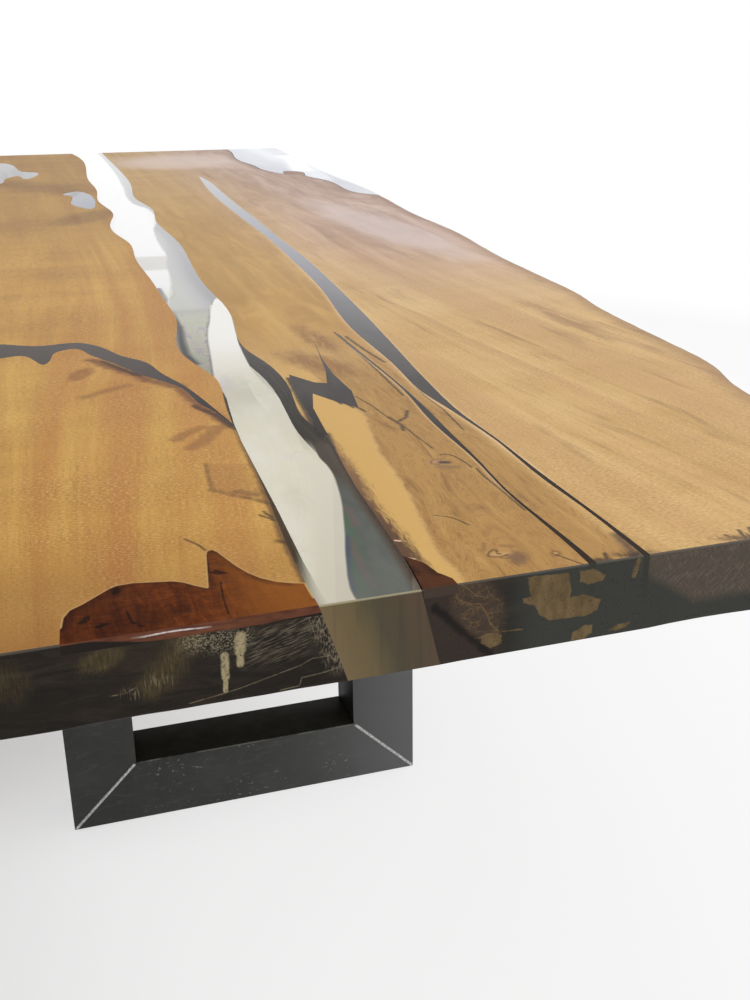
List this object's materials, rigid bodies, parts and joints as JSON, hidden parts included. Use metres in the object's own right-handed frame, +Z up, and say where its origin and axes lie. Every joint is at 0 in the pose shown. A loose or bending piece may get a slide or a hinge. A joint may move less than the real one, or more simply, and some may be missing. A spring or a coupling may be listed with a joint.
{
  "type": "live edge dining table",
  "caption": "Long live-edge dining table: wood slabs joined by a clear resin river, with resin-filled cracks, on welded U-shaped steel box-section frames.",
  "frame": {"origin": "on the floor, under the middle of the table's box", "axes": "+Z up, +Y along the table from its front end to its far end, +X across the table to the right"},
  "size_m": [1.38, 3.68, 0.75],
  "materials": {
    "left_wood": "golden softwood, satin lacquer",
    "right_wood": "golden softwood, satin lacquer",
    "clear_resin": "polished clear casting resin",
    "pale_resin": "polished milky casting resin",
    "amber_resin": "clear casting resin over red-brown broken wood",
    "dark_resin": "polished smoke-grey casting resin",
    "raw_steel": "blackened steel, satin clear coat",
    "weld_metal": "ground weld beads",
    "fastener_steel": "black-oxide steel",
    "insert_brass": "turned brass",
    "glide_plastic": "matt black plastic"
  },
  "bodies": {
    "root": {"left_slab": "left_wood", "right_slab": "right_wood", "river_resin": "clear_resin", "corner_pocket_resin": "pale_resin", "inner_pocket_resin": "pale_resin", "outer_pocket_resin": "pale_resin", "left_chip_resin": "amber_resin", "right_chip_resin": "amber_resin", "long_crack_resin": "dark_resin", "branch_crack_resin": "dark_resin", "left_crack_resin": "dark_resin", "star_pocket_resin": "dark_resin", "near_left_upright": "raw_steel", "near_right_upright": "raw_steel", "near_floor_rail": "raw_steel", "near_left_flange": "raw_steel", "near_right_flange": "raw_steel", "near_weld_seams": "weld_metal", "far_left_upright": "raw_steel", "far_right_upright": "raw_steel", "far_floor_rail": "raw_steel", "far_left_flange": "raw_steel", "far_right_flange": "raw_steel", "far_weld_seams": "weld_metal", "flange_screws": "fastener_steel", "washers": "fastener_steel", "threaded_inserts": "insert_brass", "glides": "glide_plastic"}
  },
  "joints": []
}
